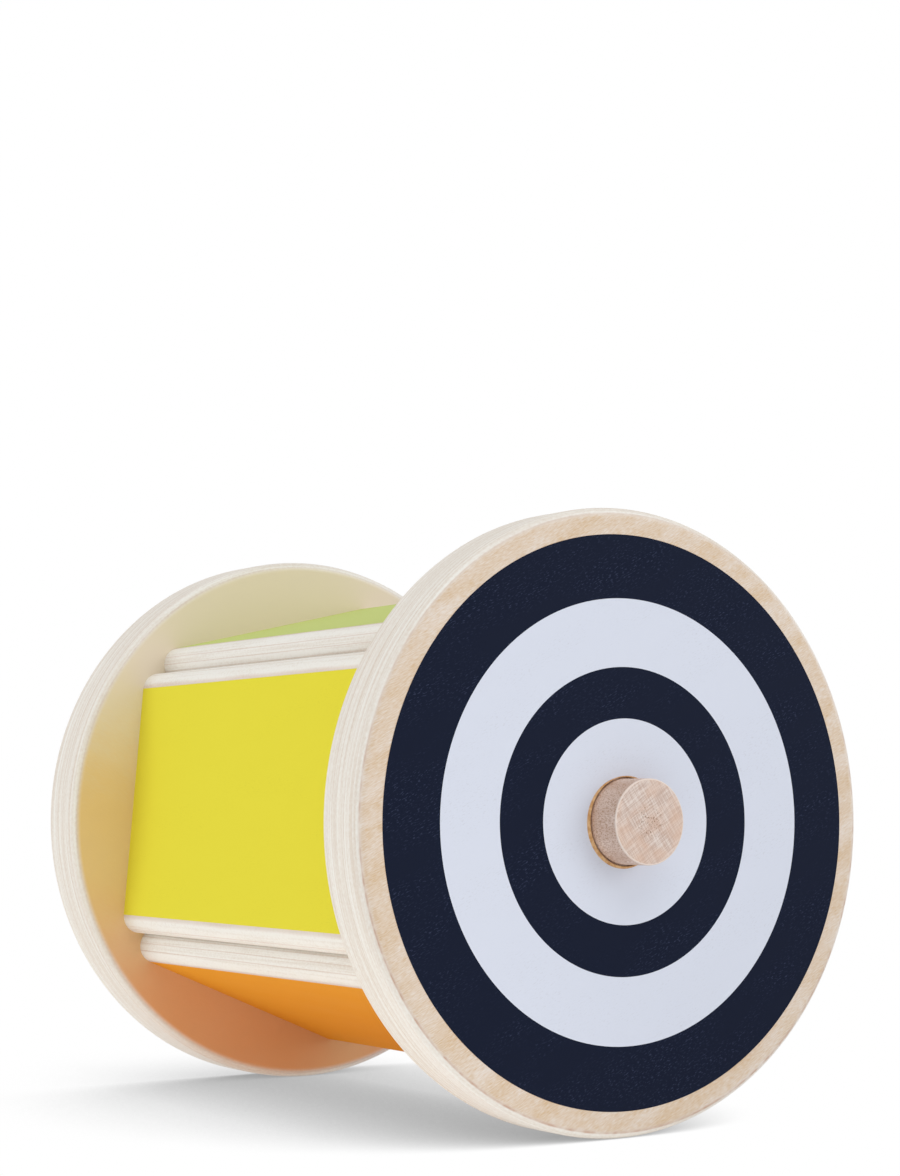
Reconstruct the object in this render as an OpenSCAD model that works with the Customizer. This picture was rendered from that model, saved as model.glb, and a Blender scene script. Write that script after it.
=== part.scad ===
// Wooden rolling drum: two plywood discs joined by five printed boards, with a
// loose beech axle through both discs. Sizes are in millimetres. The axle lies
// along Y with the middle of the drum at the origin, +Z is up, and the front
// disc faces -Y.

/* [Discs] */
// Diameter of each plywood disc
disc_d = 110; // [100:0.5:140]
// Thickness of each plywood disc
disc_t = 12; // [10:0.5:18]
// Rounding of the two edges of each rim
disc_edge_r = 2; // [0.4:0.1:3]

/* [Ring print] */
// Bare wood left between the rim and the print
print_margin = 4.8; // [2:0.1:8]
// Width of the outer dark ring
outer_dark_w = 11.2; // [8:0.1:14]
// Width of the pale ring between the dark rings
outer_pale_w = 12; // [8:0.1:14]
// Width of the inner dark ring
inner_dark_w = 9; // [6:0.1:12]
// Thickness of the layer of ink
ink_t = 0.05; // [0.02:0.01:0.2]

/* [Boards] */
// Length of each board, which is the space between the discs
board_l = 98; // [60:1:140]
// Thickness of each board, whose long edges are fully round
board_t = 7; // [6:0.1:9]
// Distance from the axle's centre line to the outer face of a board
board_reach = 41.5; // [36:0.1:44]
// Gap between the round edges of neighbouring boards
board_gap = 0.2; // [0.1:0.05:1]
// How far the yellow board's face is turned up from level, in degrees
drum_roll = 5.1; // [0:0.1:71.9]

/* [Glue pins] */
// Diameter of the pins hidden in the boards' ends
pin_d = 4; // [2:0.5:4.5]
// Length of the pins, half in the board and half in the disc
pin_l = 16; // [8:1:18]
// Distance between the two pins of a board's end
pin_pitch = 28; // [16:1:40]
// Chamfer round each end of a pin
pin_chamfer = 0.5; // [0.2:0.1:0.8]
// Gap for glue all round a pin
pin_glue = 0.05; // [0.02:0.01:0.15]
// Room for glue beyond each end of a pin
pin_end_gap = 0.5; // [0.2:0.1:0.9]

/* [Axle] */
// Diameter of the axle where it runs in the discs
axle_d = 15.4; // [10:0.1:18]
// How much the ends that stand out are sanded down, on the radius
axle_sanding = 0.2; // [0.2:0.05:1]
// How far each end stands out of its disc
axle_out = 6.5; // [4:0.5:20]
// Chamfer round each end of the axle
axle_chamfer = 0.7; // [0.3:0.1:2]
// Running gap all round the axle in the discs
axle_clear = 0.1; // [0.02:0.01:0.1]
// Chamfer at both mouths of the discs' bores
bore_chamfer = 0.3; // [0.1:0.05:1]

/* [Stop collars] */
// Diameter of the collars that keep the axle in the drum
collar_d = 26; // [22:1:50]
// Length of each collar
collar_l = 8; // [4:1:20]
// End play between each collar and its disc
collar_play = 0.3; // [0.1:0.1:2]
// Gap for glue between collar and axle
collar_glue = 0.05; // [0.02:0.01:0.15]

/* [Hidden] */
$fn = 128;

// Each board's name and ink, clockwise as seen from the front, from the one that looks left
boards = [
    ["yellow", "#E4D942"],
    ["green", "#C3D16E"],
    ["blue", "#4FA3D6"],
    ["red", "#D64B3C"],
    ["orange", "#DD9631"]
];
board_names = [for (board = boards) board[0]];
board_step = 360 / len(boards);

// Colours of the other finishes
birch = "#E6CDAA";
beech = "#CDB19B";
dark_ink = "#1E2438";
pale_ink = "#D6DCEA";

// Overlap that keeps cuts from ending on a face
cut = 1;
ends = ["front", "rear"];
inner_face = board_l / 2;
outer_face = inner_face + disc_t;
disc_r = disc_d / 2;
bore_r = axle_d / 2 + axle_clear;
mouth_r = bore_r + bore_chamfer;
axle_end_r = axle_d / 2 - axle_sanding;

// Outer radius of each printed ring, from the rim inwards
outer_dark_r = disc_r - print_margin;
outer_pale_r = outer_dark_r - outer_dark_w;
inner_dark_r = outer_pale_r - outer_pale_w;
inner_pale_r = inner_dark_r - inner_dark_w;

// A board's round edges, and the flat width between their centres. The edges of
// neighbours lie half a gap from the plane that halves the angle between them.
board_edge_r = board_t / 2;
board_mid = board_reach - board_edge_r;
half_step = board_step / 2;
board_flat_w = 2 * (board_mid * sin(half_step) - board_edge_r - board_gap / 2) / cos(half_step);

// Turns a shape that was drawn along Z so that its +Z end looks to the front
module on_axle() {
    rotate([90, 0, 0]) children();
}

// Puts a shape drawn for the front end at the chosen end
module at_end(end) {
    mirror([0, 0, end == "front" ? 0 : 1]) children();
}

function board_place(name) = search([name], board_names)[0];

// Puts a shape, drawn with +X outwards, at the middle of a board's thickness
module at_board(name) {
    rotate([0, 0, 180 - drum_roll - board_place(name) * board_step]) translate([board_mid, 0, 0]) children();
}

module at_pins() {
    for (side = [-1, 1]) {
        translate([0, side * pin_pitch / 2, 0]) children();
    }
}

// The hole for half a pin, from a seam between disc and board towards +Z
module pin_hole() {
    translate([0, 0, -cut]) cylinder(r = pin_d / 2 + pin_glue, h = cut + pin_l / 2 + pin_end_gap);
}

module pin() {
    body_l = pin_l - 2 * pin_chamfer;
    tip_r = pin_d / 2 - pin_chamfer;
    cylinder(d = pin_d, h = body_l, center = true);
    for (end = ends) {
        at_end(end) translate([0, 0, body_l / 2]) cylinder(r1 = pin_d / 2, r2 = tip_r, h = pin_chamfer);
    }
}

module end_pins(name, end) {
    color(beech) on_axle() at_end(end) at_board(name) at_pins() translate([0, 0, inner_face]) pin();
}

// A flat ring of ink
module ink_ring(outer_r, inner_r) {
    difference() {
        cylinder(r = outer_r, h = ink_t);
        translate([0, 0, -cut]) cylinder(r = inner_r, h = ink_t + 2 * cut);
    }
}

module ring_print() {
    color(dark_ink) ink_ring(outer_dark_r, outer_pale_r);
    color(pale_ink) ink_ring(outer_pale_r, inner_dark_r);
    color(dark_ink) ink_ring(inner_dark_r, inner_pale_r);
    color(pale_ink) ink_ring(inner_pale_r, mouth_r);
}

// Half of a disc's section: flat faces and a rim with two rounded edges
module disc_section() {
    square([disc_r - disc_edge_r, disc_t]);
    translate([0, disc_edge_r]) square([disc_r, disc_t - 2 * disc_edge_r]);
    for (y = [disc_edge_r, disc_t - disc_edge_r]) {
        intersection() {
            translate([disc_r - disc_edge_r, y]) circle(r = disc_edge_r);
            square([disc_r, disc_t]);
        }
    }
}

module bore() {
    translate([0, 0, -cut]) cylinder(r = bore_r, h = disc_t + 2 * cut);
    cylinder(r1 = mouth_r, r2 = bore_r, h = bore_chamfer);
    translate([0, 0, disc_t - bore_chamfer]) cylinder(r1 = bore_r, r2 = mouth_r, h = bore_chamfer);
}

// A disc standing on its inner face, with its print on top
module disc() {
    color(birch) difference() {
        rotate_extrude() disc_section();
        bore();
        for (name = board_names) {
            at_board(name) at_pins() pin_hole();
        }
    }
    translate([0, 0, disc_t]) ring_print();
}

module placed_disc(end) {
    on_axle() at_end(end) translate([0, 0, inner_face]) disc();
}

module board_section() {
    square([board_t, board_flat_w], center = true);
    for (side = [-1, 1]) {
        translate([0, side * board_flat_w / 2]) circle(r = board_edge_r);
    }
}

// The ink on the flat of a board's outer face
module board_print() {
    translate([board_edge_r, -board_flat_w / 2, -board_l / 2]) cube([ink_t, board_flat_w, board_l]);
}

module board(name) {
    on_axle() at_board(name) {
        color(birch) difference() {
            linear_extrude(height = board_l, center = true) board_section();
            for (end = ends) {
                at_end(end) at_pins() translate([0, 0, inner_face]) mirror([0, 0, 1]) pin_hole();
            }
        }
        color(boards[board_place(name)][1]) board_print();
    }
}

module collar(end) {
    color(beech) on_axle() at_end(end) translate([0, 0, inner_face - collar_play - collar_l]) difference() {
        cylinder(d = collar_d, h = collar_l);
        translate([0, 0, -cut]) cylinder(r = axle_d / 2 + collar_glue, h = collar_l + 2 * cut);
    }
}

module axle_end() {
    straight_l = axle_out - axle_chamfer;
    cylinder(r = axle_end_r, h = straight_l);
    translate([0, 0, straight_l]) cylinder(r1 = axle_end_r, r2 = axle_end_r - axle_chamfer, h = axle_chamfer);
}

module axle() {
    color(beech) on_axle() {
        cylinder(d = axle_d, h = 2 * outer_face, center = true);
        for (end = ends) {
            at_end(end) translate([0, 0, outer_face]) axle_end();
        }
    }
}

module front_disc() { placed_disc("front"); }
module rear_disc() { placed_disc("rear"); }
module front_collar() { collar("front"); }
module rear_collar() { collar("rear"); }
module yellow_board() { board("yellow"); }
module green_board() { board("green"); }
module blue_board() { board("blue"); }
module red_board() { board("red"); }
module orange_board() { board("orange"); }
module yellow_front_pins() { end_pins("yellow", "front"); }
module green_front_pins() { end_pins("green", "front"); }
module blue_front_pins() { end_pins("blue", "front"); }
module red_front_pins() { end_pins("red", "front"); }
module orange_front_pins() { end_pins("orange", "front"); }
module yellow_rear_pins() { end_pins("yellow", "rear"); }
module green_rear_pins() { end_pins("green", "rear"); }
module blue_rear_pins() { end_pins("blue", "rear"); }
module red_rear_pins() { end_pins("red", "rear"); }
module orange_rear_pins() { end_pins("orange", "rear"); }

front_disc();
rear_disc();
axle();
front_collar();
rear_collar();
yellow_board();
green_board();
blue_board();
red_board();
orange_board();
yellow_front_pins();
green_front_pins();
blue_front_pins();
red_front_pins();
orange_front_pins();
yellow_rear_pins();
green_rear_pins();
blue_rear_pins();
red_rear_pins();
orange_rear_pins();
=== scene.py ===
"""Looks of a wooden rolling drum: two ringed plywood discs, five printed boards and a loose beech axle."""

import math

import bmesh
import bpy
from bpy.props import FloatProperty, FloatVectorProperty, PointerProperty
from mathutils import Matrix, Vector


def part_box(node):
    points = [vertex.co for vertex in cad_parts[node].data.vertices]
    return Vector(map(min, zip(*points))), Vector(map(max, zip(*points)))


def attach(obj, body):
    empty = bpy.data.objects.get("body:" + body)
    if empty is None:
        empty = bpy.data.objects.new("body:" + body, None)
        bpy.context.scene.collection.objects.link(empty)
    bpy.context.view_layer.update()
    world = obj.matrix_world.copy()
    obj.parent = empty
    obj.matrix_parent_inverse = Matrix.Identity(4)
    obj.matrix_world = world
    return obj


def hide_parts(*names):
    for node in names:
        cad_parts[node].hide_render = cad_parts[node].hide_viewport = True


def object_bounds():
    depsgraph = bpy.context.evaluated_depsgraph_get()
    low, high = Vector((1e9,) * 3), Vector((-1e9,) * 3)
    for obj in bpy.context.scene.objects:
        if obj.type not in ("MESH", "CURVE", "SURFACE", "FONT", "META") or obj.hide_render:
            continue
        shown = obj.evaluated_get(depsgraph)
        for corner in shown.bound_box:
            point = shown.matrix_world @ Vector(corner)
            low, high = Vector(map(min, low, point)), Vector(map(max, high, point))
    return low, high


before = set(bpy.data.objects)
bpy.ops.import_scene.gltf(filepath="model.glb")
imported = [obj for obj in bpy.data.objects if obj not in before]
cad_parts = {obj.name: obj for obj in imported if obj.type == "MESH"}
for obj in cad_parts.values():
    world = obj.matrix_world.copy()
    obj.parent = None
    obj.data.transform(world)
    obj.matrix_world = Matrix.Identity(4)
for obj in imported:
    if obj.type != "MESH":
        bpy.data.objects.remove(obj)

bl_info = {
    "name": "Wooden rolling drum",
    "version": (1, 0, 0),
    "blender": (4, 5, 0),
    "location": "View3D > Sidebar > Drum",
    "description": "Models and finishes a printed plywood rolling drum on its loose beech axle",
    "category": "Add Mesh",
}

# A millimetre in metres, and places taken from the imported frame
MM = 0.001
CAD_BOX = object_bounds()
DISC_LOW, DISC_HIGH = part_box("front_disc")
AXLE_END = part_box("axle")[1].y

# The boards in order, clockwise as seen from the front, from the one that looks left
BOARDS = ("yellow", "green", "blue", "red", "orange")

# The attribute that says where each point lay in the sheet of plywood that its piece was cut from: along
# the face's grain, across it, and down from the outer face. Pieces lie this far apart in the sheet, in
# metres, so that no two have the same grain.
STOCK = "stock"
SHEET_STEP = 0.4

# Cells of the patterns in the plywood and its ink, in millimetres: along the grain, across it, and down
UNEVEN_PLIES = (25.0, 25.0, 25.0)
PLY_LINES = (30.0, 30.0, 0.42)
PLY_DOTS = (0.6, 0.6, 0.3)
JOINT_SPECKS = (2.4, 2.4, 2.4)
HOLE_SPECKS = (0.8, 0.8, 0.8)
FACE_STROKES = (1.2, 0.18, 0.18)
FACE_CLOUDS = (14.0, 4.0, 4.0)
INK_FLECKS = (0.75, 0.2, 0.2)
INK_CLOUDS = (24.0, 7.0, 7.0)

# Cells of the patterns in the axle, in millimetres, where it lies along the second axis
DOWEL_BANDS = (2.5, 9.0, 2.5)
DOWEL_FLECKS = (0.2, 0.42, 0.2)
SAW_MARKS = (0.13, 3.5, 3.5)
SAW_TURNS = (math.radians(32), math.radians(-58))
END_CLOUDS = (3.0, 3.0, 3.0)
END_PORES = (0.25, 3.0, 0.25)

# Noise lies round one half: the values between which a soft pattern, a speckled one, one of which only the
# peaks show, and one of separate pores go from none to full
SOFT = {"From Min": 0.3, "From Max": 0.7}
SPECKLED = {"From Min": 0.4, "From Max": 0.62}
PEAKS = {"From Min": 0.58, "From Max": 0.74}
PORES = {"From Min": 0.68, "From Max": 0.78}

# The same for noises that add up: the strokes on a face, to which its clouds add a share, and the saw marks
# of both ways on the axle's ends
CLOUD_SHARE = 0.7
CLOUDED = {"From Min": 0.6, "From Max": 1.1}
WOVEN = {"From Min": 0.75, "From Max": 1.25}

# The beech: how pale its darkest bands are, how strongly its flecks show, how strongly warm clouds tint its
# ends, and how far from the middle of an end its pores thin out
BAND_PALENESS = 0.3
FLECKED = {"From Min": 0.46, "From Max": 0.66, "To Max": 0.75}
WARMED = {"From Min": 0.4, "From Max": 0.7, "To Max": 0.55}
PITH = {"From Min": 2.0 * MM, "From Max": 3.6 * MM, "To Min": 1.0, "To Max": 0.0}

# How the plies show where the sheet is cut: half the width of a glue joint, over what depth the face veneer
# gives way to the core, how far above and below the joint under the outer face its brown band reaches, how
# faint that is at its faintest, between which heights on a disc it fades, and how much soft lines and fine
# dots change a ply's tone
JOINT_W = 0.14 * MM
VENEER_BLEND = 0.2 * MM
BAND_ABOVE, BAND_BELOW = 0.18 * MM, 0.16 * MM
BAND_FAINT = 0.1
BAND_FADE = {"From Min": -15.0 * MM, "From Max": 35.0 * MM, "To Min": 1.0, "To Max": 0.2}
LINE_TONE = 0.35
DOT_TONE = 0.2

# The two plywoods: thickness of the face veneer, tone of each inner ply from the outer face inwards, where
# 1 is the palest, how far their joints wander, and how strongly those and the one under the outer face show
DISC_PLIES = {
    "veneer": 0.2 * MM, "tones": (0.6, 0.6, 0.8, 0.5, 0.7, 0.5, 0.65, 0.55, 0.7),
    "wander": 0.02 * MM, "joint_share": 0.25, "band_share": 0.85,
}
BOARD_PLIES = {
    "veneer": 0.0, "tones": (1.0, 0.7, 0.95, 0.65, 0.95),
    "wander": 0.1 * MM, "joint_share": 0.4, "band_share": 0.0,
}

# The inks: how strongly fibres show through, and how glossy and rough the film is, how much rougher it is
# where the wood drank more of it, and how bright a fibre is that shows through a coloured ink
DARK_INK = {"fleck_share": 0.7, "gloss": 0.05, "rough": 0.5}
PALE_INK = {"fleck_share": 0.5, "gloss": 0.05, "rough": 0.5}
BOARD_INK = {"fleck_share": 0.25, "gloss": 0.02, "rough": 0.65}
ROUGHER = 0.1
FLECK_SHADE = 0.8

# How far the discs' grain rises to the right, as seen from outside, how far the ragged edges of the tints
# on their back veneer reach, and the heights on a disc between which the back veneer turns from its own
# pale colour to a painted golden reflection of the yellow board, and to a painted reddish reflection of the
# orange one
GRAIN_RISE = math.radians(28)
STREAK_REACH = 5.0 * MM
YELLOW_REFLECTION_TURN = {"From Min": 4.0 * MM, "From Max": 30.0 * MM}
ORANGE_REFLECTION_TURN = {"From Min": -36.0 * MM, "From Max": -6.0 * MM}

# Where the print slipped to on a disc, as seen from outside
SLIP_WAY = Vector((-0.96, -0.28))

# How finely round forms are cut
RIM_SIDES = 256
AXLE_SIDES = 128
ROUNDING_STEPS = 8
BULLNOSE_STEPS = 12
SMOOTH_BELOW = math.radians(30)

# How squarely a face looks one way where it is flat, how much of half its thickness a board's edge is
# rounded, and how near points then lie that are merged
FLAT = 0.999
BULLNOSE_SHARE = 0.9999
MERGE_BELOW = 0.01 * MM

# The camera, its lens and sensor in millimetres, and how far its frame is raised, as a share of its height,
# so that the drum stands low in it
CAMERA_PLACE = (-0.2475, -0.377, 0.0029)
CAMERA_TURN = (math.radians(92.13), 0.0, math.radians(-33.67))
CAMERA_LENS = 70.21
CAMERA_SENSOR = 36.0
CAMERA_RISE = 0.112

# Soft boxes: where each stands, how wide it is, and its power in watts
LAMPS = {
    "key_box": ((0.6, -0.9, 0.3), 0.7, 3.1),
    "left_box": ((-1.0, 0.45, 0.3), 0.7, 2.7),
    "top_box": ((-0.1, -0.5, 1.2), 1.2, 6.2),
}
ROOM_LIGHT = 0.45
WHITE = (1.0, 1.0, 1.0, 1.0)

# The floor: how far it reaches and the share of light it gives back
FLOOR_SPAN = 3.0
FLOOR_SHARE = (0.85, 0.85, 0.85, 1.0)

# A white card on the floor left of the drum: the two places across the floor between which its light
# sets in, and how strongly it shines up
CARD_EDGE = {"From Min": 0.06, "From Max": -0.04}
CARD_GLOW = 0.38

# The drum's shadow, painted on the floor from ambient occlusion: how far it reaches, where its light comes
# from, how much open sky leaves the floor plain white, and how bright it is at its darkest
SHADOW_REACH = 0.15
SHADOW_FROM = (0.25, -0.45, 0.85)
OPEN_SKY = 0.63
DARKEST = 0.25

# Sockets of a mix node that go by number: the share, the two values, and the two colours
SHARE, VALUE_A, VALUE_B, COLOUR_A, COLOUR_B = 0, 2, 3, 6, 7
COLOUR_MIX = {"out": 2, "data_type": "RGBA"}


def linear(code):
    """Linear colour values of an sRGB hex code."""
    shares = [int(code[place:place + 2], 16) / 255 for place in (1, 3, 5)]
    return [share / 12.92 if share <= 0.04045 else ((share + 0.055) / 1.055) ** 2.4 for share in shares]


def length(name, description, millimetres):
    """A property that holds a length, given in millimetres."""
    return FloatProperty(
        name=name, description=description, default=millimetres * MM, min=0.0, unit="LENGTH", precision=5
    )


def colour(name, description, code):
    """A property that holds a colour, given as a hex code."""
    return FloatVectorProperty(
        name=name, description=description, default=linear(code), size=3, min=0.0, max=1.0, subtype="COLOR"
    )


class DrumSizes(bpy.types.PropertyGroup):
    """Sizes of the drum's pieces"""

    disc_r: length("Disc radius", "Radius of each plywood disc", round(DISC_HIGH.x / MM, 1))
    disc_edge_r: length("Rim rounding", "Rounding of both edges of a rim", 2.0)
    print_margin: length("Print margin", "Bare wood between the rim and the print", 4.8)
    veneer_slant: length("Veneer slant", "How much more outer veneer is left at the left of a rim", 0.3)
    outer_dark_w: length("Outer dark ring", "Width of the outer dark ring", 11.2)
    outer_pale_w: length("Pale ring", "Width of the pale ring between the dark rings", 12.0)
    inner_dark_w: length("Inner dark ring", "Width of the inner dark ring", 9.0)
    ink_t: length("Ink thickness", "Thickness of the layer of ink", 0.05)
    bore_r: length("Bore radius", "Radius of the hole that the axle runs in", 7.8)
    bore_chamfer: length("Bore chamfer", "Chamfer at the mouths of the bore", 0.1)
    bare_ring_r: length("Bare ring radius", "Bare ring that the print leaves round the hole", 8.0)
    print_slip: length("Print slip", "How far the print lies off the hole", 0.7)
    board_t: length("Board thickness", "Thickness of each board", 7.0)
    board_reach: length("Board reach", "From the axle's centre line to a board's outer face", 41.5)
    board_gap: length("Board gap", "Gap between the round edges of neighbouring boards", 0.2)
    drum_roll: FloatProperty(
        name="Drum roll", description="How far the yellow board's face is turned up from level",
        default=math.radians(5.1), subtype="ANGLE"
    )
    axle_r: length("Axle radius", "Radius of the axle where it runs in the discs", 7.7)
    axle_sanding: length("Axle sanding", "How much the axle's free ends are sanded down", 0.2)
    axle_arris: length("Axle arris", "Sanded rounding of the axle's ends", 0.25)
    axle_inset: length("Axle inset", "How far into the bore the axle's ends are sanded down", 0.8)


class DrumColours(bpy.types.PropertyGroup):
    """Colours of the drum's finishes"""

    face_pale: colour("Face veneer, pale", "Pale strokes of the plywood's face", "#E4D9CF")
    face_dark: colour("Face veneer, dark", "Dark strokes of the plywood's face", "#D1B38D")
    # The back veneer's golden middle and reddish lower part are painted light reflected from the yellow and
    # orange boards
    back_veneer_pale: colour("Back veneer, sapwood", "Pale upper part of the discs' back veneer", "#E6D8BF")
    painted_yellow_reflection: colour("Back veneer, golden", "Golden middle of the discs' back veneer", "#E4C58C")
    painted_orange_reflection: colour("Back veneer, heartwood", "Reddish lower part of the discs' back veneer", "#E5AF7A")
    core_pale: colour("Core, pale", "Palest of the inner plies", "#F1EEE7")
    core_dark: colour("Core, dark", "Darkest of the inner plies", "#DACDBE")
    glue: colour("Glue line", "Glue joints between the plies", "#BE9379")
    # The hole's rim and bore are painted golden brown, darker in specks
    hole_brown_pale: colour("Hole wood, pale", "Rim and bore of the hole, golden brown", "#E2BD8D")
    hole_brown_dark: colour("Hole wood, dark", "Darkest specks at the hole", "#CB9C68")
    dark_ink: colour("Dark ink", "Dark rings of the print", "#131A2D")
    dark_fleck: colour("Dark ink fleck", "Fibres that show through the dark ink", "#3D455E")
    pale_ink: colour("Pale ink", "Pale rings of the print", "#D8DDEA")
    pale_fleck: colour("Pale ink fleck", "Fibres that show through the pale ink", "#C4C6D0")
    yellow: colour("Yellow ink", "Print of the yellow board", "#E8DD43")
    green: colour("Green ink", "Print of the green board", "#CCD785")
    blue: colour("Blue ink", "Print of the blue board", "#4FA3D6")
    red: colour("Red ink", "Print of the red board", "#D64B3C")
    orange: colour("Orange ink", "Print of the orange board", "#E99E33")
    beech_pale: colour("Beech, pale", "Ground colour of the axle", "#E8D3C6")
    beech_dark: colour("Beech, dark", "Darker streaks of the axle", "#C6A48E")
    end_pale: colour("Beech end, pale", "Raised saw marks on the axle's ends", "#E0D3CB")
    end_dark: colour("Beech end, dark", "Grooves between the saw marks", "#C3A99B")
    end_warm: colour("Beech end, warm", "Warm clouds on the axle's ends", "#D6B29A")
    beech_fleck: colour("Beech fleck", "Short ray flecks of the axle", "#B18360")
    # The arris is painted paler all round: partly sanded wood, partly a painted highlight
    beech_arris: colour("Beech arris", "Axle's sanded arris, with a painted highlight", "#E6DBD3")
    beech_pore: colour("Beech pore", "Pores round the pith at the axle's ends", "#8A6A54")


def add(tree, kind, inputs, out=0, **settings):
    """Add a node with its settings and its links or values, and return one of its outputs."""
    node = tree.nodes.new("ShaderNode" + kind)
    for name, value in settings.items():
        setattr(node, name, value)
    for key, value in inputs.items():
        if isinstance(value, bpy.types.NodeSocket):
            tree.links.new(value, node.inputs[key])
        else:
            node.inputs[key].default_value = value
    return node.outputs[out] if node.outputs else node


def blank(name):
    """A new material with an empty node tree."""
    material = bpy.data.materials.new(name)
    material.use_nodes = True
    material.node_tree.nodes.clear()
    return material, material.node_tree


def solid(values):
    """A colour property as the four values that a colour socket takes."""
    return (*values, 1.0)


def pattern(tree, place, sizes, detail=2.0):
    """Soft noise, as a value round one half, whose cells have these sizes in millimetres."""
    per_metre = [1.0 / (size * MM) for size in sizes]
    scaled = add(tree, "VectorMath", {0: place, 1: per_metre}, operation="MULTIPLY")
    return add(tree, "TexNoise", {"Vector": scaled, "Scale": 1.0, "Detail": detail})


def surfaced(tree, tint, relief, strength, rise, rough, gloss):
    """End a material: its colour, a relief of so many millimetres, its roughness and its gloss."""
    bump = add(tree, "Bump", {"Strength": strength, "Distance": rise * MM, "Height": relief})
    finish = {"Roughness": rough, "Specular IOR Level": gloss}
    shader = add(tree, "BsdfPrincipled", {"Base Color": tint, "Normal": bump, **finish})
    add(tree, "OutputMaterial", {"Surface": shader})


def plywood(name, colours, sheet, veneer, tones, wander, joint_share, band_share):
    """Sanded birch plywood, solid through the sheet: fine warm strokes on the face veneers, a broken brown
    joint under the outer one, and pale plies between, with soft lines and fine dots where they are cut."""
    material, tree = blank(name)
    ply = (sheet - 2 * veneer) / len(tones)
    stock = add(tree, "Attribute", {}, out="Vector", attribute_name=STOCK)
    depth = add(tree, "SeparateXYZ", {"Vector": stock}, out="Z")

    # Plies are never quite even, so the joints wander a little
    uneven = pattern(tree, stock, UNEVEN_PLIES, detail=1.0)
    shift = add(tree, "MapRange", {"Value": uneven, "To Min": -wander, "To Max": wander})
    level = add(tree, "Math", {0: depth, 1: shift}, operation="ADD")
    from_face = add(tree, "Math", {0: level, 1: sheet / 2}, operation="PINGPONG")

    # Each ply has a tone of its own, soft lines and fine dots
    share = add(tree, "Math", {0: level, 1: sheet}, operation="DIVIDE")
    ramp = add(tree, "ValToRGB", {"Fac": share}).node
    stops = ramp.color_ramp.elements
    while len(stops) < len(tones):
        stops.new(1.0)
    for place, tone in enumerate(tones):
        stops[place].position = (veneer + ply * (place + 0.5)) / sheet
        stops[place].color = (tone, tone, tone, 1.0)
    lines = pattern(tree, stock, PLY_LINES)
    dots = pattern(tree, stock, PLY_DOTS)
    tone = ramp.outputs[0]
    for texture, most in ((lines, LINE_TONE), (dots, DOT_TONE)):
        change = add(tree, "MapRange", {"Value": texture, **SOFT, "To Min": -most, "To Max": most})
        tone = add(tree, "Math", {0: tone, 1: change}, operation="ADD", use_clamp=True)
    ends = {COLOUR_A: solid(colours.core_dark), COLOUR_B: solid(colours.core_pale)}
    core = add(tree, "Mix", {SHARE: tone, **ends}, **COLOUR_MIX)
    in_core = add(tree, "Math", {0: level, 1: veneer}, operation="SUBTRACT")
    from_joint = add(tree, "Math", {0: in_core, 1: ply / 2}, operation="PINGPONG")
    span = {"From Max": JOINT_W, "To Min": joint_share, "To Max": 0.0}
    joint = add(tree, "MapRange", {"Value": from_joint, **span})
    core = add(tree, "Mix", {SHARE: joint, COLOUR_A: core, COLOUR_B: solid(colours.glue)}, **COLOUR_MIX)

    # Fine strokes on the faces, in clouds
    strokes = pattern(tree, stock, FACE_STROKES, detail=3.0)
    clouds = pattern(tree, stock, FACE_CLOUDS)
    grain = add(tree, "Math", {0: clouds, 1: CLOUD_SHARE, 2: strokes}, operation="MULTIPLY_ADD")
    warmth = add(tree, "MapRange", {"Value": grain, **CLOUDED})
    ends = {COLOUR_A: solid(colours.face_dark), COLOUR_B: solid(colours.face_pale)}
    front = add(tree, "Mix", {SHARE: warmth, **ends}, **COLOUR_MIX)

    # The back veneer is a plainer one, pale above; its golden middle and reddish lower part are painted
    # light reflected from the yellow and orange boards
    upwards = (math.sin(GRAIN_RISE), math.cos(GRAIN_RISE), 0.0)
    height = add(tree, "VectorMath", {0: stock, 1: upwards}, out="Value", operation="DOT_PRODUCT")
    streaks = add(tree, "Math", {0: warmth, 1: STREAK_REACH, 2: height}, operation="MULTIPLY_ADD")
    back = solid(colours.back_veneer_pale)
    for turn, wood in ((YELLOW_REFLECTION_TURN, colours.painted_yellow_reflection), (ORANGE_REFLECTION_TURN, colours.painted_orange_reflection)):
        span = {"Value": streaks, **turn, "To Min": 1.0, "To Max": 0.0}
        turned = add(tree, "MapRange", span, interpolation_type="SMOOTHSTEP")
        back = add(tree, "Mix", {SHARE: turned, COLOUR_A: back, COLOUR_B: solid(wood)}, **COLOUR_MIX)
    is_back = add(tree, "Math", {0: level, 1: sheet / 2}, operation="GREATER_THAN")
    bare = add(tree, "Mix", {SHARE: is_back, COLOUR_A: front, COLOUR_B: back}, **COLOUR_MIX)
    span = {"From Min": veneer, "From Max": veneer - VENEER_BLEND}
    face = add(tree, "MapRange", {"Value": from_face, **span})
    tint = add(tree, "Mix", {SHARE: face, COLOUR_A: core, COLOUR_B: bare}, **COLOUR_MIX)

    # Where the rounding cuts through the outer face, the joint under it shows as a broken brown band
    specks = pattern(tree, stock, JOINT_SPECKS, detail=4.0)
    strength = {"To Min": BAND_FAINT * band_share, "To Max": band_share}
    band = add(tree, "MapRange", {"Value": specks, **SPECKLED, **strength})
    fade = add(tree, "MapRange", {"Value": height, **BAND_FADE})
    band = add(tree, "Math", {0: band, 1: fade}, operation="MULTIPLY")
    for limit in (veneer - BAND_ABOVE, veneer + BAND_BELOW):
        span = {"From Min": limit, "From Max": veneer}
        near_joint = add(tree, "MapRange", {"Value": level, **span})
        band = add(tree, "Math", {0: band, 1: near_joint}, operation="MULTIPLY")
    tint = add(tree, "Mix", {SHARE: band, COLOUR_A: tint, COLOUR_B: solid(colours.glue)}, **COLOUR_MIX)

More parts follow.
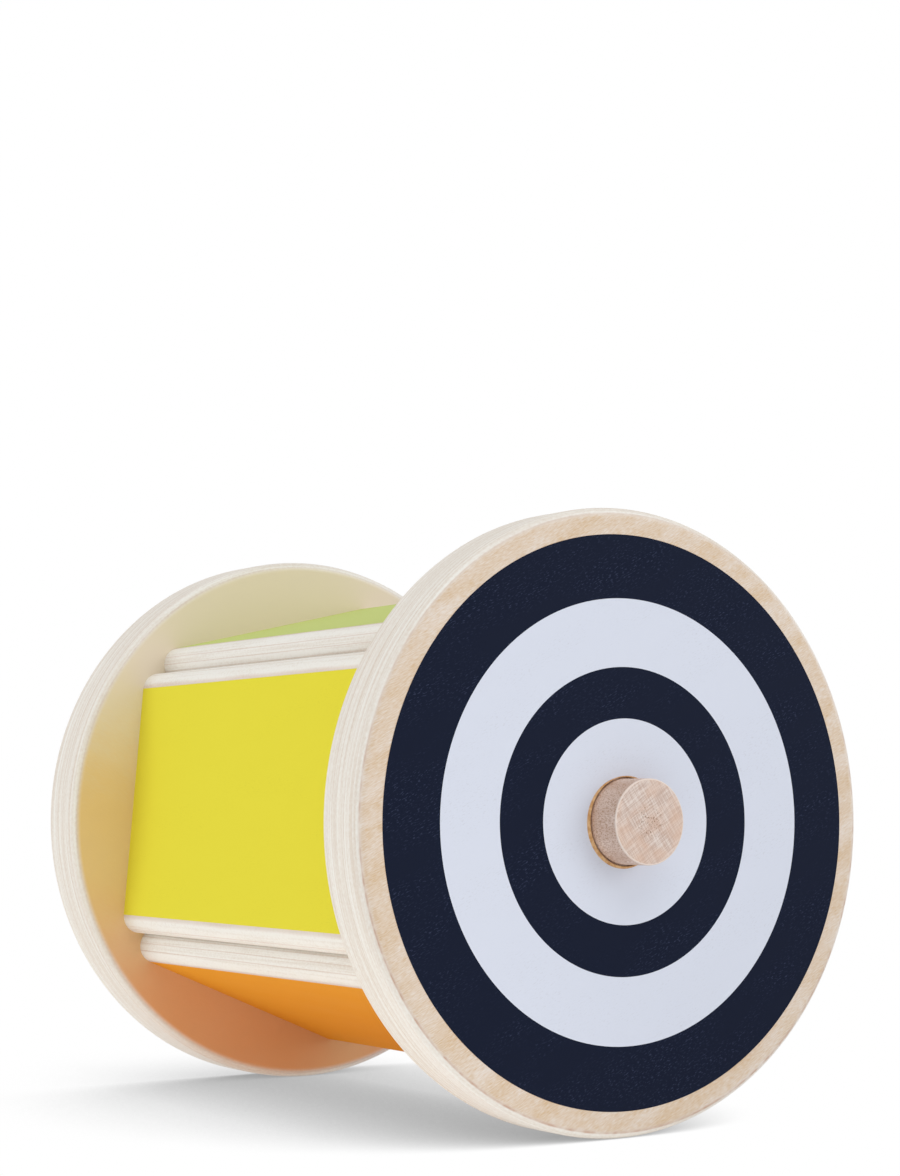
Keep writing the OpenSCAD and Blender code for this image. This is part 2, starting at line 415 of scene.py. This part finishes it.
    relief = add(tree, "Mix", {SHARE: face, VALUE_A: lines, VALUE_B: strokes})
    surfaced(tree, tint, relief, strength=0.5, rise=0.03, rough=0.62, gloss=0.35)
    return material


def hole_brown_wood(name, colours):
    """Birch round and inside the hole: golden brown, darker in specks."""
    material, tree = blank(name)
    stock = add(tree, "Attribute", {}, out="Vector", attribute_name=STOCK)
    specks = pattern(tree, stock, HOLE_SPECKS)
    brown = add(tree, "MapRange", {"Value": specks, **SPECKLED})
    ends = {COLOUR_A: solid(colours.hole_brown_pale), COLOUR_B: solid(colours.hole_brown_dark)}
    tint = add(tree, "Mix", {SHARE: brown, **ends}, **COLOUR_MIX)
    surfaced(tree, tint, specks, strength=0.5, rise=0.03, rough=0.7, gloss=0.25)
    return material


def printed(name, ink, fleck, fleck_share, gloss, rough):
    """Silk-screened ink on sanded plywood: an even satin film, with fine flecks where fibres stand through
    it and a faint cloudiness where the wood drank more of it."""
    material, tree = blank(name)
    stock = add(tree, "Attribute", {}, out="Vector", attribute_name=STOCK)
    flecks = pattern(tree, stock, INK_FLECKS, detail=1.0)
    clouds = pattern(tree, stock, INK_CLOUDS)
    sparse = add(tree, "MapRange", {"Value": clouds, **SPECKLED, "To Max": fleck_share})
    peaks = add(tree, "MapRange", {"Value": flecks, **PEAKS})
    showing = add(tree, "Math", {0: peaks, 1: sparse}, operation="MULTIPLY")
    tint = add(tree, "Mix", {SHARE: showing, COLOUR_A: solid(ink), COLOUR_B: solid(fleck)}, **COLOUR_MIX)
    roughness = add(tree, "MapRange", {"Value": clouds, **SOFT, "To Min": rough, "To Max": rough + ROUGHER})
    surfaced(tree, tint, flecks, strength=0.25, rise=0.02, rough=roughness, gloss=gloss)
    return material


def beech(name, pale, dark, fleck):
    """Beech, turned and sanded: pale pinkish brown, peppered with fine flecks along the grain."""
    material, tree = blank(name)
    place = add(tree, "TexCoord", {}, out="Object")
    bands = pattern(tree, place, DOWEL_BANDS)
    paleness = add(tree, "MapRange", {"Value": bands, **SOFT, "To Min": BAND_PALENESS})
    ground = add(tree, "Mix", {SHARE: paleness, COLOUR_A: solid(dark), COLOUR_B: solid(pale)}, **COLOUR_MIX)
    flecks = pattern(tree, place, DOWEL_FLECKS)
    showing = add(tree, "MapRange", {"Value": flecks, **FLECKED})
    tint = add(tree, "Mix", {SHARE: showing, COLOUR_A: ground, COLOUR_B: solid(fleck)}, **COLOUR_MIX)
    surfaced(tree, tint, flecks, strength=0.5, rise=0.03, rough=0.6, gloss=0.35)
    return material


def beech_end(name, pale, dark, warm, pore):
    """Sawn beech end grain: two crossing sets of fine saw marks, warm clouds, and dark pores round the
    pith."""
    material, tree = blank(name)
    place = add(tree, "TexCoord", {}, out="Object")
    marks = []
    for turn in SAW_TURNS:
        turned = add(tree, "VectorRotate", {"Vector": place, "Angle": turn, "Axis": (0.0, 1.0, 0.0)})
        marks.append(pattern(tree, turned, SAW_MARKS, detail=0.0))
    weave = add(tree, "Math", {0: marks[0], 1: marks[1]}, operation="ADD")
    paleness = add(tree, "MapRange", {"Value": weave, **WOVEN})
    ground = add(tree, "Mix", {SHARE: paleness, COLOUR_A: solid(dark), COLOUR_B: solid(pale)}, **COLOUR_MIX)
    clouds = pattern(tree, place, END_CLOUDS)
    warmth = add(tree, "MapRange", {"Value": clouds, **WARMED})
    ground = add(tree, "Mix", {SHARE: warmth, COLOUR_A: ground, COLOUR_B: solid(warm)}, **COLOUR_MIX)
    across = add(tree, "VectorMath", {0: place, 1: (1.0, 0.0, 1.0)}, operation="MULTIPLY")
    radius = add(tree, "VectorMath", {0: across}, out="Value", operation="LENGTH")
    near_pith = add(tree, "MapRange", {"Value": radius, **PITH})
    pores = pattern(tree, place, END_PORES, detail=0.0)
    peaks = add(tree, "MapRange", {"Value": pores, **PORES})
    showing = add(tree, "Math", {0: peaks, 1: near_pith}, operation="MULTIPLY")
    tint = add(tree, "Mix", {SHARE: showing, COLOUR_A: ground, COLOUR_B: solid(pore)}, **COLOUR_MIX)
    surfaced(tree, tint, weave, strength=0.4, rise=0.03, rough=0.7, gloss=0.3)
    return material


def seen_directly(tree):
    """1 where a ray comes from the camera, a gloss or a clear thing, and 0 where it only carries light."""
    rays = add(tree, "LightPath", {}).node.outputs
    seen = add(tree, "Math", {0: rays["Is Camera Ray"], 1: rays["Is Glossy Ray"]}, operation="MAXIMUM")
    return add(tree, "Math", {0: seen, 1: rays["Is Transmission Ray"]}, operation="MAXIMUM")


def pale_floor(name):
    """Matt white paper with a white card on it, left of the drum: plain white to the eye, with the drum's
    soft grey shadow painted on it from ambient occlusion."""
    material, tree = blank(name)
    place = add(tree, "TexCoord", {}, out="Object")
    across = add(tree, "SeparateXYZ", {"Vector": place})
    card = add(tree, "MapRange", {"Value": across, **CARD_EDGE, "To Max": CARD_GLOW})
    paper = add(tree, "BsdfDiffuse", {"Color": FLOOR_SHARE})
    glow = add(tree, "Emission", {"Color": WHITE, "Strength": card})
    lit = add(tree, "AddShader", {0: paper, 1: glow})
    # What the eye sees is painted: white light, dimmed into a soft shadow where ambient occlusion finds the
    # drum near
    lit_from = add(tree, "CombineXYZ", dict(enumerate(SHADOW_FROM)))
    sky = add(tree, "AmbientOcclusion", {"Distance": SHADOW_REACH, "Normal": lit_from}, out="AO")
    shade = add(tree, "MapRange", {"Value": sky, "From Max": OPEN_SKY, "To Min": DARKEST})
    shown = add(tree, "Emission", {"Color": WHITE, "Strength": shade})
    surface = add(tree, "MixShader", {0: seen_directly(tree), 1: lit, 2: shown})
    add(tree, "OutputMaterial", {"Surface": surface})
    return material


def studio_room(name):
    """A white room: plain white to the eye, and an even soft light on the drum."""
    world = bpy.data.worlds.new(name)
    world.use_nodes = True
    tree = world.node_tree
    tree.nodes.clear()
    light = add(tree, "Background", {"Color": WHITE, "Strength": ROOM_LIGHT})
    white = add(tree, "Background", {"Color": WHITE, "Strength": 1.0})
    surface = add(tree, "MixShader", {0: seen_directly(tree), 1: light, 2: white})
    add(tree, "OutputWorld", {"Surface": surface})
    return world


def nothing_selected():
    """Deselect everything, so that the next operators act on the new piece alone."""
    bpy.ops.object.select_all(action="DESELECT")


def choose(part, test):
    """Select, in edit mode, the vertices, edges or faces that pass a test, and nothing else."""
    bpy.ops.mesh.select_mode(type=part)
    bpy.ops.mesh.select_all(action="DESELECT")
    mesh = bmesh.from_edit_mesh(bpy.context.object.data)
    for item in {"VERT": mesh.verts, "EDGE": mesh.edges, "FACE": mesh.faces}[part]:
        if test(item):
            item.select_set(True)
    mesh.select_flush_mode()
    bmesh.update_edit_mesh(bpy.context.object.data)


def paint(piece, material, test):
    """Give the faces that pass a test a material, in edit mode."""
    if material.name not in piece.data.materials:
        piece.data.materials.append(material)
    choose("FACE", test)
    piece.active_material_index = piece.data.materials.find(material.name)
    bpy.ops.object.material_slot_assign()


def copied(model, name):
    """A copy of a modelled piece, with a mesh of its own, selected alone."""
    nothing_selected()
    model.select_set(True)
    bpy.context.view_layer.objects.active = model
    bpy.ops.object.duplicate()
    piece = bpy.context.object
    piece.name = name
    return piece


def removed(model):
    """Delete a modelled piece once its copies are made."""
    nothing_selected()
    model.select_set(True)
    bpy.ops.object.delete()


def cut_from_sheet(piece, place_in_sheet):
    """Note where each point of a piece lay in its sheet of plywood."""
    spots = piece.data.attributes.new(STOCK, "FLOAT_VECTOR", "POINT")
    for vertex, spot in zip(piece.data.vertices, spots.data):
        spot.vector = place_in_sheet(vertex.co)


def finished(piece, turn, body, node):
    """Smooth a piece, turn it into place, and let it stand for its CAD node."""
    bpy.ops.object.shade_smooth_by_angle(angle=SMOOTH_BELOW)
    piece.modifiers.new("even_shading", "WEIGHTED_NORMAL").keep_sharp = True
    bpy.ops.object.modifier_apply(modifier="even_shading")
    piece.matrix_world = turn
    bpy.ops.object.transform_apply(location=True, rotation=True, scale=True)
    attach(piece, body)
    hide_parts(node)


def model_disc(sizes, inner_face, outer_face, dark, pale, wood, hole):
    """One disc round Z, with its print on top: a turned cylinder, inset ring by ring and bored through."""
    mouth_r = sizes.bore_r + sizes.bore_chamfer
    flat_r = sizes.disc_r - sizes.disc_edge_r
    print_r = sizes.disc_r - sizes.print_margin
    pale_r = print_r - sizes.outer_dark_w
    inner_dark_r = pale_r - sizes.outer_pale_w
    inner_pale_r = inner_dark_r - sizes.inner_dark_w
    loops = (flat_r, print_r, pale_r, inner_dark_r, inner_pale_r, sizes.bare_ring_r, mouth_r)

    nothing_selected()
    thickness = outer_face - inner_face
    middle = inner_face + thickness / 2
    bpy.ops.mesh.primitive_cylinder_add(
        vertices=RIM_SIDES, radius=sizes.disc_r, depth=thickness, location=(0, 0, middle)
    )
    disc = bpy.context.object
    bpy.ops.object.transform_apply(location=True, rotation=False, scale=False)
    bpy.ops.object.mode_set(mode="EDIT")

    # Round the rim's two edges
    choose("EDGE", lambda edge: abs(edge.verts[0].co.z - edge.verts[1].co.z) < thickness / 2)
    bpy.ops.mesh.bevel(offset=sizes.disc_edge_r, segments=ROUNDING_STEPS, affect="EDGES")

    # Inset the outer face to the edge of each ring, and the inner face to the hole's mouth
    choose("FACE", lambda face: len(face.verts) == RIM_SIDES and face.normal.z > 0)
    for wide, narrow in zip(loops, loops[1:]):
        bpy.ops.mesh.inset(thickness=wide - narrow)
    bpy.ops.mesh.inset(thickness=sizes.bore_chamfer, depth=-sizes.bore_chamfer)
    choose("FACE", lambda face: len(face.verts) == RIM_SIDES and face.normal.z < 0)
    bpy.ops.mesh.inset(thickness=flat_r - mouth_r)
    bpy.ops.mesh.inset(thickness=sizes.bore_chamfer, depth=-sizes.bore_chamfer)

    # Bore through
    choose("FACE", lambda face: len(face.verts) == RIM_SIDES)
    bpy.ops.mesh.delete(type="FACE")
    choose("EDGE", lambda edge: edge.is_boundary)
    bpy.ops.mesh.bridge_edge_loops()

    # Lay the ink on, ring by ring
    def in_ring(face, wide, narrow):
        return face.normal.z > FLAT and narrow < face.calc_center_median().to_2d().length < wide

    def in_hole(face):
        spot = face.calc_center_median()
        return spot.to_2d().length < sizes.bare_ring_r and spot.z > inner_face + sizes.bore_chamfer

    def in_dark(face):
        return in_ring(face, print_r, pale_r) or in_ring(face, inner_dark_r, inner_pale_r)

    def in_pale(face):
        return in_ring(face, pale_r, inner_dark_r) or in_ring(face, inner_pale_r, sizes.bare_ring_r)

    choose("FACE", lambda face: in_ring(face, print_r, sizes.bare_ring_r))
    bpy.ops.mesh.extrude_region_move(TRANSFORM_OT_translate={"value": (0, 0, sizes.ink_t)})
    bpy.ops.mesh.select_all(action="SELECT")
    bpy.ops.mesh.normals_make_consistent(inside=False)
    paint(disc, wood, lambda face: True)
    # The hole's bare rim and bore are painted golden brown
    paint(disc, hole, in_hole)
    paint(disc, dark, in_dark)
    paint(disc, pale, in_pale)

    # The print lies a little off the hole, which leaves a bare crescent
    def in_crescent(vert):
        flat = vert.co.to_2d()
        on_edge = abs(flat.length - sizes.bare_ring_r) < sizes.ink_t
        return on_edge and vert.co.z > middle and flat.dot(SLIP_WAY) > 0

    choose("VERT", in_crescent)
    bpy.ops.transform.translate(value=(*(SLIP_WAY * sizes.print_slip), 0.0))
    bpy.ops.object.mode_set(mode="OBJECT")
    return disc


def model_board(sizes, board_l, flat_w, ink, wood):
    """One board along Z that looks along +X: a plank with fully round long edges and a printed face."""
    edge_r = sizes.board_t / 2
    nothing_selected()
    bpy.ops.mesh.primitive_cube_add(size=1.0, location=(sizes.board_reach - edge_r, 0, 0))
    board = bpy.context.object
    board.scale = (sizes.board_t, flat_w + 2 * edge_r, board_l)
    bpy.ops.object.transform_apply(location=True, rotation=False, scale=True)
    bpy.ops.object.mode_set(mode="EDIT")

    # Round the long edges all the way, and merge what is left between the two roundings
    choose("EDGE", lambda edge: abs(edge.verts[0].co.z - edge.verts[1].co.z) > board_l / 2)
    bpy.ops.mesh.bevel(offset=edge_r * BULLNOSE_SHARE, segments=BULLNOSE_STEPS, affect="EDGES")
    bpy.ops.mesh.select_all(action="SELECT")
    bpy.ops.mesh.remove_doubles(threshold=MERGE_BELOW)

    # Lay the ink on the flat of the outer face
    choose("FACE", lambda face: face.normal.x > FLAT)
    bpy.ops.mesh.extrude_region_move(TRANSFORM_OT_translate={"value": (sizes.ink_t, 0, 0)})
    bpy.ops.mesh.select_all(action="SELECT")
    bpy.ops.mesh.normals_make_consistent(inside=False)
    paint(board, wood, lambda face: True)
    paint(board, ink, lambda face: face.normal.x > FLAT)
    bpy.ops.object.mode_set(mode="OBJECT")
    return board


def model_axle(sizes, outer_face, side, arris, end):
    """The axle round Z: a dowel whose free ends are sanded slimmer and rounded over."""
    nothing_selected()
    step = outer_face - sizes.axle_inset
    arris_from = AXLE_END - sizes.axle_arris
    bpy.ops.mesh.primitive_cylinder_add(vertices=AXLE_SIDES, radius=sizes.axle_r, depth=2 * step)
    axle = bpy.context.object
    bpy.ops.object.mode_set(mode="EDIT")
    for way in (-1, 1):
        choose("FACE", lambda face: len(face.verts) == AXLE_SIDES and face.normal.z * way > 0)
        bpy.ops.mesh.inset(thickness=sizes.axle_sanding)
        out = way * (AXLE_END - step)
        bpy.ops.mesh.extrude_region_move(TRANSFORM_OT_translate={"value": (0, 0, out)})
    choose("EDGE", lambda edge: all(abs(vert.co.z) > arris_from for vert in edge.verts))
    bpy.ops.mesh.bevel(offset=sizes.axle_arris, segments=ROUNDING_STEPS, affect="EDGES")
    paint(axle, side, lambda face: True)
    # The arris is painted paler: partly sanded wood, partly a painted highlight
    paint(axle, arris, lambda face: abs(face.calc_center_median().z) > arris_from)
    paint(axle, end, lambda face: len(face.verts) == AXLE_SIDES)
    bpy.ops.object.mode_set(mode="OBJECT")
    return axle


class DRUM_OT_discs(bpy.types.Operator):
    """Model the front and rear disc, with their rings"""

    bl_idname = "drum.discs"
    bl_label = "Ringed discs"

    def execute(self, context):
        sizes, colours = context.scene.drum_sizes, context.scene.drum_colours
        inner_face = -DISC_HIGH.y
        outer_face = -DISC_LOW.y - sizes.ink_t
        sheet = outer_face - inner_face
        wood = plywood("birch_plywood_12mm_sanded", colours, sheet, **DISC_PLIES)
        hole = hole_brown_wood("birch_drilled_scorched", colours)
        dark = printed("navy_ink_screened", colours.dark_ink, colours.dark_fleck, **DARK_INK)
        pale = printed("pale_ink_screened", colours.pale_ink, colours.pale_fleck, **PALE_INK)
        model = model_disc(sizes, inner_face, outer_face, dark, pale, wood, hole)
        grain = Matrix.Rotation(-GRAIN_RISE, 3, "Z")
        to_front = Matrix.Rotation(math.pi / 2, 4, "X")
        to_rear = Matrix.Rotation(math.pi, 4, "Z") @ to_front

        # Less of the outer veneer was sanded off at the left of the rim, where it reaches further down
        def in_sheet(point, shift):
            depth = outer_face - point.z
            leftness = max(0.0, -point.x / sizes.disc_r) ** 2
            slant = sizes.veneer_slant * leftness * (1.0 - depth / sheet)
            return grain @ Vector((point.x + shift, point.y, max(0.0, depth - slant)))

        for place, (end, turn) in enumerate((("front", to_front), ("rear", to_rear))):
            disc = copied(model, f"{end}_ringed_disc")
            shift = SHEET_STEP * place
            cut_from_sheet(disc, lambda point: in_sheet(point, shift))
            finished(disc, turn, "drum", f"{end}_disc")
        removed(model)
        return {"FINISHED"}


class DRUM_OT_boards(bpy.types.Operator):
    """Model the five printed boards between the discs"""

    bl_idname = "drum.boards"
    bl_label = "Printed boards"

    def execute(self, context):
        sizes, colours = context.scene.drum_sizes, context.scene.drum_colours
        wood = plywood("birch_plywood_7mm_sanded", colours, sheet=sizes.board_t, **BOARD_PLIES)
        plain_ink = printed("plain_ink_screened", colours.pale_ink, colours.pale_fleck, **BOARD_INK)
        board_l = -2 * DISC_HIGH.y
        step = 2 * math.pi / len(BOARDS)
        edge_r = sizes.board_t / 2
        seam = (sizes.board_reach - edge_r) * math.sin(step / 2) - edge_r - sizes.board_gap / 2
        flat_w = 2 * seam / math.cos(step / 2)
        model = model_board(sizes, board_l, flat_w, plain_ink, wood)
        for place, name in enumerate(BOARDS):
            board = copied(model, f"{name}_printed_board")
            ink = getattr(colours, name)
            fleck = [FLECK_SHADE * value for value in ink]
            ink_slot = board.data.materials.find(plain_ink.name)
            board.data.materials[ink_slot] = printed(f"{name}_ink_screened", ink, fleck, **BOARD_INK)
            shift = SHEET_STEP * place
            cut_from_sheet(board, lambda point: (point.z + shift, point.y, sizes.board_reach - point.x))
            angle = math.pi - sizes.drum_roll - place * step
            turn = Matrix.Rotation(math.pi / 2, 4, "X") @ Matrix.Rotation(angle, 4, "Z")
            finished(board, turn, "drum", f"{name}_board")
        removed(model)
        bpy.data.materials.remove(plain_ink)
        return {"FINISHED"}


class DRUM_OT_axle(bpy.types.Operator):
    """Model the axle"""

    bl_idname = "drum.axle"
    bl_label = "Beech axle"

    def execute(self, context):
        sizes, colours = context.scene.drum_sizes, context.scene.drum_colours
        pale = colours.beech_pale
        side = beech("beech_dowel_sanded", pale, colours.beech_dark, colours.beech_fleck)
        # The arris material is partly sanded wood and partly a painted highlight
        arris = beech("beech_arris_sanded", colours.beech_arris, pale, pale)
        ends = (colours.end_pale, colours.end_dark, colours.end_warm, colours.beech_pore)
        end = beech_end("beech_end_grain_sawn", *ends)
        axle = model_axle(sizes, -DISC_LOW.y - sizes.ink_t, side, arris, end)
        axle.name = "beech_axle"
        finished(axle, Matrix.Rotation(math.pi / 2, 4, "X"), "axle", "axle")
        return {"FINISHED"}


class DRUM_OT_hidden(bpy.types.Operator):
    """Finish the collars and glue pins inside the drum, whose shapes stay as they are"""

    bl_idname = "drum.hidden"
    bl_label = "Collars and pins"

    def execute(self, context):
        colours = context.scene.drum_colours
        wood = beech("beech_turned", colours.beech_pale, colours.beech_dark, colours.beech_fleck)
        for name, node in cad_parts.items():
            if name.endswith(("_collar", "_pins")):
                node.data.materials.clear()
                node.data.materials.append(wood)
        return {"FINISHED"}


class DRUM_OT_stage(bpy.types.Operator):
    """Set the floor, the soft light and the camera"""

    bl_idname = "drum.stage"
    bl_label = "Floor, light and camera"

    def execute(self, context):
        scene = context.scene
        scene.view_settings.view_transform = "Standard"
        nothing_selected()
        bpy.ops.mesh.primitive_circle_add(
            vertices=RIM_SIDES, radius=FLOOR_SPAN, fill_type="NGON", location=(0, 0, CAD_BOX[0].z)
        )
        floor = context.object
        floor.name = "pale_floor"
        floor.data.materials.append(pale_floor("paper_matt_white"))
        scene.world = studio_room("studio_room")
        for name, (place, width, power) in LAMPS.items():
            aim = (-Vector(place)).to_track_quat("-Z", "Y").to_euler()
            bpy.ops.object.light_add(type="AREA", location=place, rotation=aim)
            lamp = context.object
            lamp.name = name
            lamp.data.size = width
            lamp.data.energy = power
            lamp.visible_camera = False
        bpy.ops.object.camera_add(location=CAMERA_PLACE, rotation=CAMERA_TURN)
        camera = context.object
        camera.data.sensor_width = CAMERA_SENSOR
        camera.data.lens = CAMERA_LENS
        camera.data.shift_y = CAMERA_RISE
        scene.camera = camera
        return {"FINISHED"}


class VIEW3D_PT_drum(bpy.types.Panel):
    """Sidebar panel that lists the drum's operators"""

    bl_label = "Wooden rolling drum"
    bl_space_type = "VIEW_3D"
    bl_region_type = "UI"
    bl_category = "Drum"

    def draw(self, context):
        for operator in OPERATORS:
            self.layout.operator(operator.bl_idname)


OPERATORS = (DRUM_OT_discs, DRUM_OT_boards, DRUM_OT_axle, DRUM_OT_hidden, DRUM_OT_stage)
CLASSES = (DrumSizes, DrumColours, *OPERATORS, VIEW3D_PT_drum)


def register():
    for each in CLASSES:
        bpy.utils.register_class(each)
    bpy.types.Scene.drum_sizes = PointerProperty(type=DrumSizes)
    bpy.types.Scene.drum_colours = PointerProperty(type=DrumColours)


def unregister():
    del bpy.types.Scene.drum_colours
    del bpy.types.Scene.drum_sizes
    for each in reversed(CLASSES):
        bpy.utils.unregister_class(each)


def main():
    """Make the whole drum and its stage."""
    register()
    bpy.ops.drum.discs()
    bpy.ops.drum.boards()
    bpy.ops.drum.axle()
    bpy.ops.drum.hidden()
    bpy.ops.drum.stage()


if __name__ == "__main__":
    main()
